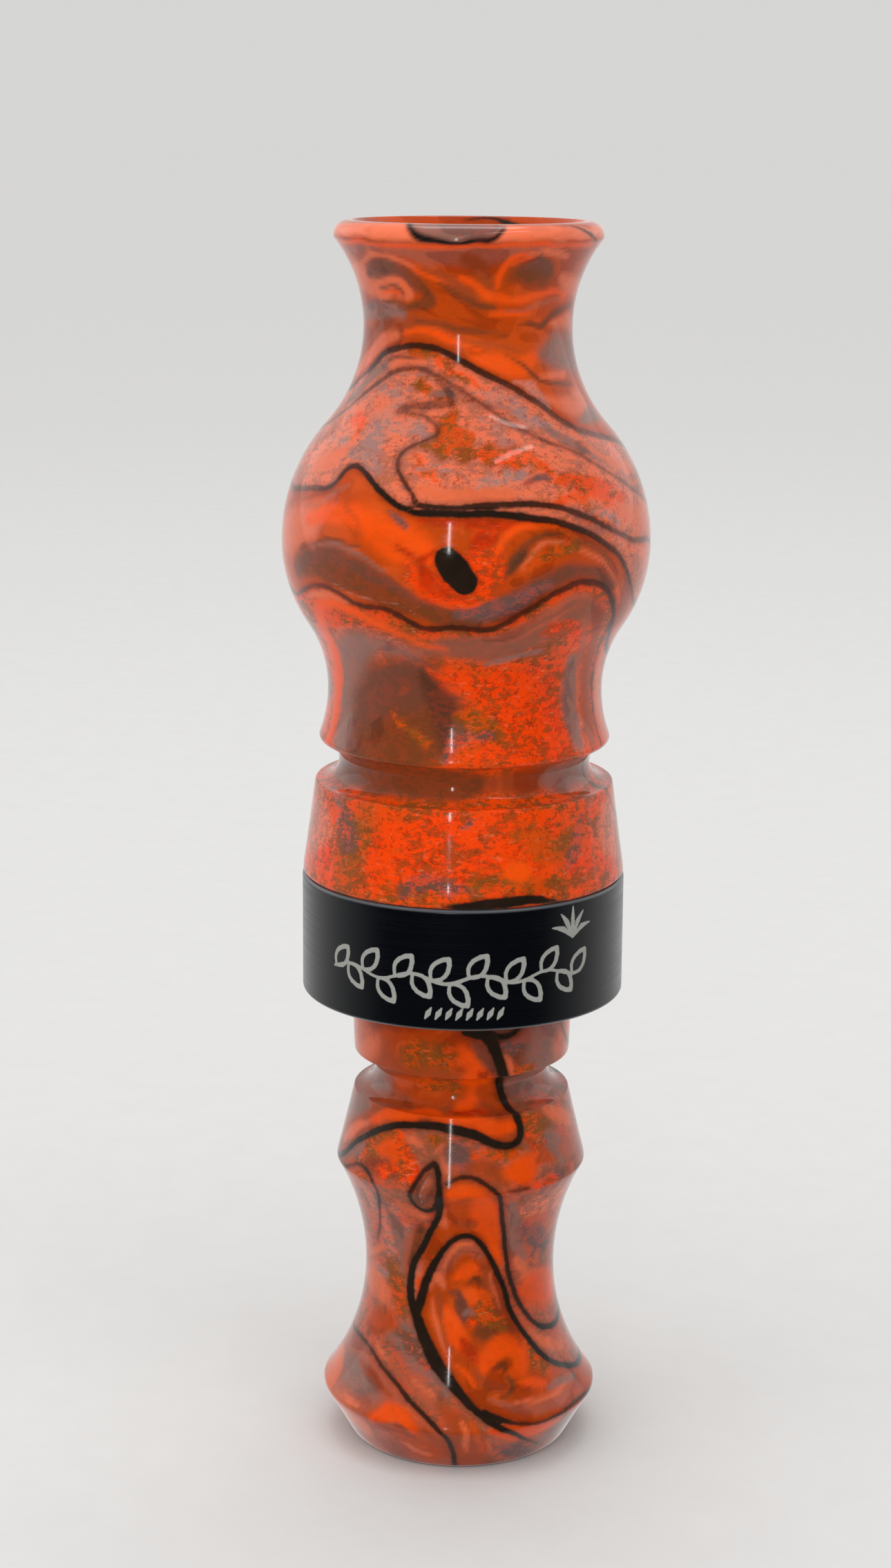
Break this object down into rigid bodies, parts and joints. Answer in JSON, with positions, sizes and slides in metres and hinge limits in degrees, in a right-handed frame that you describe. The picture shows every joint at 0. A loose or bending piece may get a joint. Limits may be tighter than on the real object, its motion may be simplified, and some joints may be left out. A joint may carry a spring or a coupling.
{
  "type": "waterfowl call",
  "caption": "Short-reed goose call: turned marbled-resin barrel and insert joined by an O-ringed tenon, black metal band on the barrel, and a pull-out reed assembly inside.",
  "frame": {"origin": "centre of the insert's end face, which the call stands on", "axes": "+Z along the call's axis towards the mouthpiece; -Y is the front, the side that the tone board faces"},
  "size_m": [0.0381, 0.038, 0.1306],
  "materials": {
    "resin": "polished cast resin, swirled orange and brown with dark veins",
    "band": "black anodised aluminium with a pale engraved border",
    "o_ring": "matt black nitrile rubber",
    "acetal": "machined black acetal",
    "reed_film": "clear polyester film",
    "wedge_plastic": "machined natural nylon"
  },
  "bodies": {
    "insert": {"insert": "resin"},
    "tenon_rings": {"tenon_o_ring_lower": "o_ring", "tenon_o_ring_upper": "o_ring"},
    "barrel": {"barrel": "resin", "band": "band"},
    "channel_ring": {"channel_o_ring": "o_ring"},
    "tone_channel": {"tone_channel": "acetal"},
    "reed": {"reed": "reed_film"},
    "wedge": {"wedge": "wedge_plastic"}
  },
  "joints": [
    {"name": "barrel_turn", "type": "hinge", "parent": "insert", "child": "tenon_rings", "pos_m": [0, 0, 0.0603], "axis": [0, 0, 1], "continuous": true},
    {"name": "barrel_pull", "type": "slide", "parent": "tenon_rings", "child": "barrel", "axis": [0, 0, 1], "range_m": [0, 0.062]},
    {"name": "channel_pull", "type": "slide", "parent": "insert", "child": "channel_ring", "axis": [0, 0, 1], "range_m": [0, 0.036]},
    {"name": "channel_turn", "type": "hinge", "parent": "channel_ring", "child": "tone_channel", "pos_m": [0, 0, 0.04], "axis": [0, 0, 1], "continuous": true},
    {"name": "reed_flex", "type": "hinge", "parent": "tone_channel", "child": "reed", "pos_m": [0, -0.0011, 0.074], "axis": [1, 0, 0], "range_deg": [-1.3, 0.4], "stiffness_Nm_per_rad": 0.002},
    {"name": "wedge_pull", "type": "slide", "parent": "tone_channel", "child": "wedge", "axis": [0, 0, 1], "range_m": [0, 0.009]}
  ]
}
